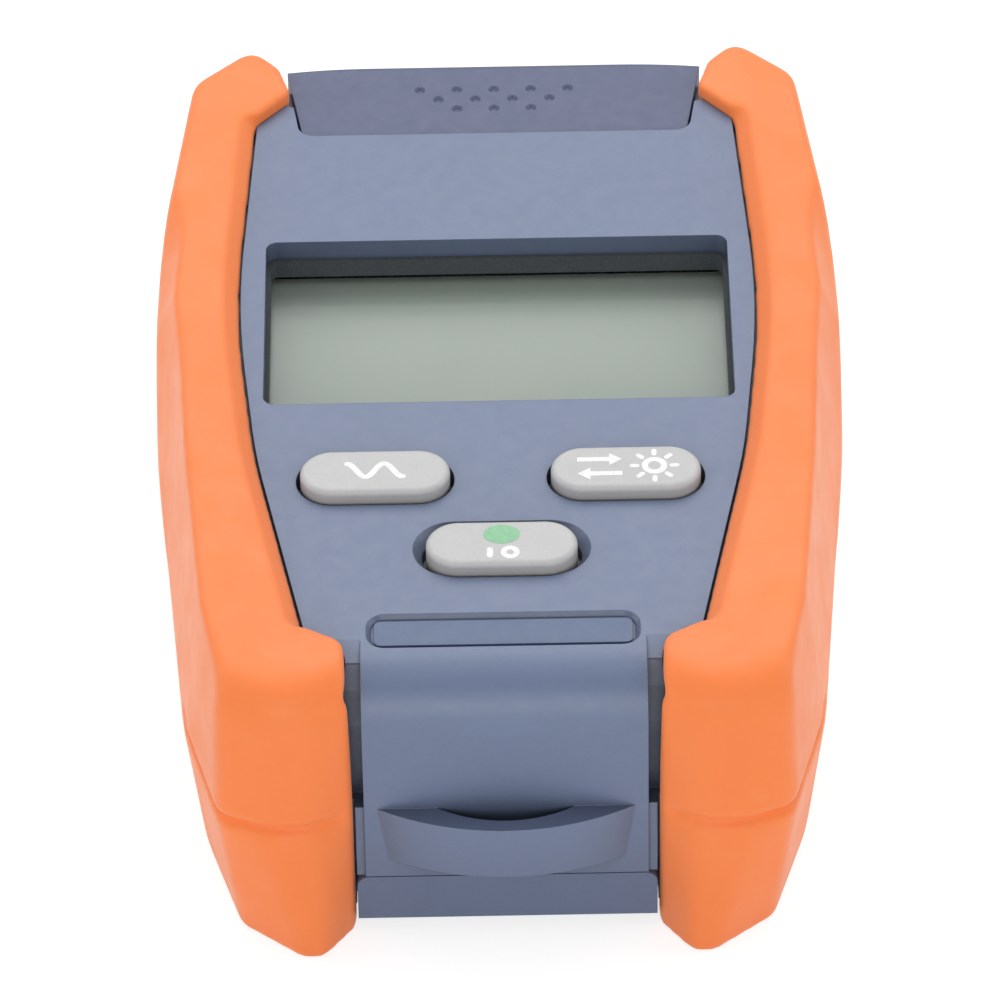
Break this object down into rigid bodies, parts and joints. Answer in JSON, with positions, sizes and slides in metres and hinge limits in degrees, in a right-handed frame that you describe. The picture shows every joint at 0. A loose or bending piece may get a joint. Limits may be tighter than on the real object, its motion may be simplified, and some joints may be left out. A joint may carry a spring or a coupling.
{
  "type": "optical power meter",
  "caption": "Palm-sized fibre-optic power meter in a rubber boot, with a blank display, keys, a hinged dust cover over its port, and a sliding battery door.",
  "frame": {"origin": "middle of the footprint, on the surface that the meter lies on", "axes": "+Z out of the display face; +Y towards the optical port and dust cover; -Y towards the lanyard bar; X across the case"},
  "size_m": [0.0822, 0.1224, 0.0372],
  "materials": {
    "boot_rubber": "soft matt orange elastomer",
    "shell_plastic": "fine-textured blue-grey moulded plastic",
    "cover_plastic": "fine-textured violet-grey moulded plastic",
    "door_plastic": "fine-textured blue-grey moulded plastic",
    "key_plastic": "light grey moulded key",
    "gasket_black": "black foam gasket",
    "lens_clear": "clear window",
    "lcd_grey": "blank reflective display",
    "light_guide": "white light guide",
    "strip_rubber": "layered contact strip",
    "board_green": "solder mask",
    "chip_black": "moulded component",
    "switch_black": "moulded switch",
    "port_metal": "nickel-plated turned metal",
    "cap_metal": "turned and fluted",
    "sleeve_ceramic": "white zirconia ceramic",
    "detector_can": "sealed metal can",
    "pin_steel": "drawn steel",
    "screw_steel": "zinc-plated",
    "spring_steel": "nickel-plated spring steel",
    "cell_jacket": "plain printed jacket",
    "seal_foam": "soft closed-cell pad",
    "inlay_plastic": "blank inlay"
  },
  "bodies": {
    "case": {"boot": "boot_rubber", "front_shell": "shell_plastic", "rear_shell": "shell_plastic", "optical_port": "port_metal", "detector": "detector_can", "cell_left": "cell_jacket", "cell_right": "cell_jacket", "contact_springs": "spring_steel", "cell_contacts": "spring_steel", "case_screws": "screw_steel", "board_screws": "screw_steel", "lcd_gasket": "gasket_black", "lcd_lens": "lens_clear", "lcd_glass": "lcd_grey", "lcd_backlight": "light_guide", "contact_strips": "strip_rubber", "name_inlay": "inlay_plastic", "main_board": "board_green", "board_chips": "chip_black", "key_switches": "switch_black", "dust_cover_pin": "pin_steel"},
    "dust_cover": {"dust_cover": "cover_plastic", "dust_seal": "seal_foam"},
    "battery_door": {"battery_door": "door_plastic"},
    "key_left": {"key_left": "key_plastic"},
    "key_right": {"key_right": "key_plastic"},
    "key_power": {"key_power": "key_plastic"},
    "adapter_cap": {"adapter_cap": "cap_metal", "alignment_sleeve": "sleeve_ceramic"}
  },
  "joints": [
    {"name": "dust_cover_hinge", "type": "hinge", "parent": "case", "child": "dust_cover", "pos_m": [0, 0.0586, 0.0045], "axis": [-1, 0, 0], "range_deg": [0, 90]},
    {"name": "battery_door_slide", "type": "slide", "parent": "case", "child": "battery_door", "axis": [0, -1, 0], "range_m": [0, 0.062]},
    {"name": "key_left_press", "type": "slide", "parent": "case", "child": "key_left", "axis": [0, 0, -1], "range_m": [0, 0.0007], "stiffness_N_per_m": 1500, "springref_m": -0.0002},
    {"name": "key_right_press", "type": "slide", "parent": "case", "child": "key_right", "axis": [0, 0, -1], "range_m": [0, 0.0007], "stiffness_N_per_m": 1500, "springref_m": -0.0002},
    {"name": "key_power_press", "type": "slide", "parent": "case", "child": "key_power", "axis": [0, 0, -1], "range_m": [0, 0.0007], "stiffness_N_per_m": 1500, "springref_m": -0.0002},
    {"name": "adapter_cap_turn", "type": "hinge", "parent": "case", "child": "adapter_cap", "pos_m": [0, 0.046, 0.02], "axis": [0, 1, 0], "range_deg": [0, 360]}
  ]
}
